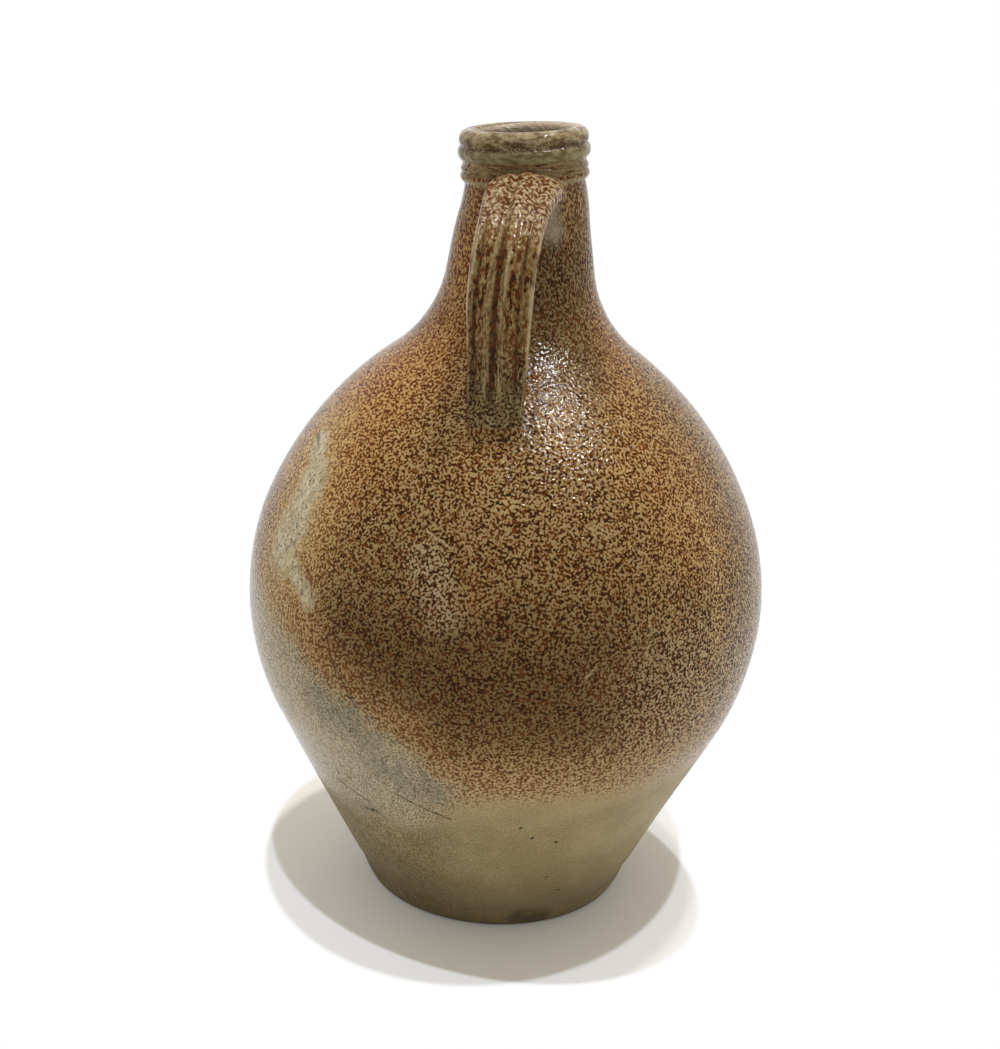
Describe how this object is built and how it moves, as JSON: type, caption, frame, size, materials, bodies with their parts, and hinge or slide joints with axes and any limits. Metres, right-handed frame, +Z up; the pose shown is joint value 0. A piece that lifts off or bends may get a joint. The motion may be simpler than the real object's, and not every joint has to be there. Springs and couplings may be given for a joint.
{
  "type": "stoneware jug",
  "caption": "Round-bellied salt-glazed stoneware jug on a narrow flat foot, with a tall ringed neck and one reeded strap handle from the rim to the shoulder.",
  "frame": {"origin": "centre of the flat base, on the body's turning axis", "axes": "+Z up along the turning axis; the handle stands on the -Y side"},
  "size_m": [0.2668, 0.2666, 0.402],
  "materials": {
    "stoneware": "mottled brown salt glaze over a pale tan body, glossy, with bare buff clay at the foot"
  },
  "bodies": {
    "root": {"jug": "stoneware"}
  },
  "joints": []
}
